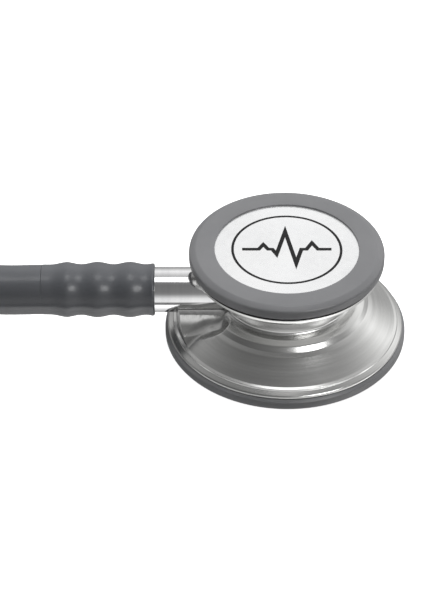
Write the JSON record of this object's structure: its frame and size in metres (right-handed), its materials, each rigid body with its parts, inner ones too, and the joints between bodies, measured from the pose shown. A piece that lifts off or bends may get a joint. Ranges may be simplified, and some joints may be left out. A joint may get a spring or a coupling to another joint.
{
  "type": "stethoscope",
  "caption": "Stethoscope with a two-sided stainless chestpiece that turns on its stem, a grey tube laid in one loop, and a sprung headset.",
  "frame": {"origin": "centre of the large contact face, on the surface that the stethoscope lies on", "axes": "+Z along the chestpiece's axis from the large side to the small side, -X along the stem towards the tube and the headset"},
  "size_m": [0.409, 0.1664, 0.0208],
  "materials": {
    "satin_steel": "turned and satin finished stainless steel",
    "polished_steel": "polished stainless steel",
    "soft_rim": "smooth soft grey rim with a faint sheen",
    "membrane": "thin pale laminate disc with a fine printed ring",
    "grey_tube": "moulded grey PVC, semi-matte",
    "ear_tube_metal": "satin anodised",
    "eartip_rubber": "soft, matte",
    "spring_steel": "bright spring steel",
    "seal_rubber": "black nitrile"
  },
  "bodies": {
    "tubing": {"main_tube": "grey_tube", "tube_end_grip": "grey_tube", "tube_yoke": "grey_tube", "leaf_spring": "spring_steel", "stem": "polished_steel", "stem_o_ring": "seal_rubber", "stem_retaining_ring": "spring_steel"},
    "chestpiece": {"chestpiece_body": "satin_steel", "large_rim": "soft_rim", "small_rim": "soft_rim", "detent_spring": "spring_steel", "detent_screw": "spring_steel"},
    "large_side": {"large_diaphragm": "membrane"},
    "small_side": {"small_diaphragm": "membrane"},
    "detent": {"detent_ball": "polished_steel"},
    "left_arm": {"left_tube_leg": "grey_tube", "left_ear_tube": "ear_tube_metal", "left_ear_tube_end": "polished_steel", "left_eartip": "eartip_rubber"},
    "right_arm": {"right_tube_leg": "grey_tube", "right_ear_tube": "ear_tube_metal", "right_ear_tube_end": "polished_steel", "right_eartip": "eartip_rubber"}
  },
  "joints": [
    {"name": "chestpiece_swivel", "type": "hinge", "parent": "tubing", "child": "chestpiece", "pos_m": [0, 0, 0.0105], "axis": [1, 0, 0], "continuous": true},
    {"name": "large_press", "type": "slide", "parent": "chestpiece", "child": "large_side", "axis": [0, 0, 1], "range_m": [0, 0.0003], "stiffness_N_per_m": 4000},
    {"name": "small_press", "type": "slide", "parent": "chestpiece", "child": "small_side", "axis": [0, 0, -1], "range_m": [0, 0.00025], "stiffness_N_per_m": 4000},
    {"name": "detent_travel", "type": "slide", "parent": "chestpiece", "child": "detent", "axis": [0, 0, -1], "range_m": [0, 0.0005], "stiffness_N_per_m": 1500, "deforming": ["detent_spring"]},
    {"name": "left_spread", "type": "hinge", "parent": "tubing", "child": "left_arm", "pos_m": [-0.158, -0.0172, 0.0049], "axis": [0, 0, 1], "range_deg": [-2.5, 18], "stiffness_Nm_per_rad": 2.5, "deforming": ["leaf_spring"]},
    {"name": "right_spread", "type": "hinge", "parent": "tubing", "child": "right_arm", "pos_m": [-0.158, -0.0068, 0.0049], "axis": [0, 0, -1], "range_deg": [-2.5, 18], "stiffness_Nm_per_rad": 2.5}
  ]
}
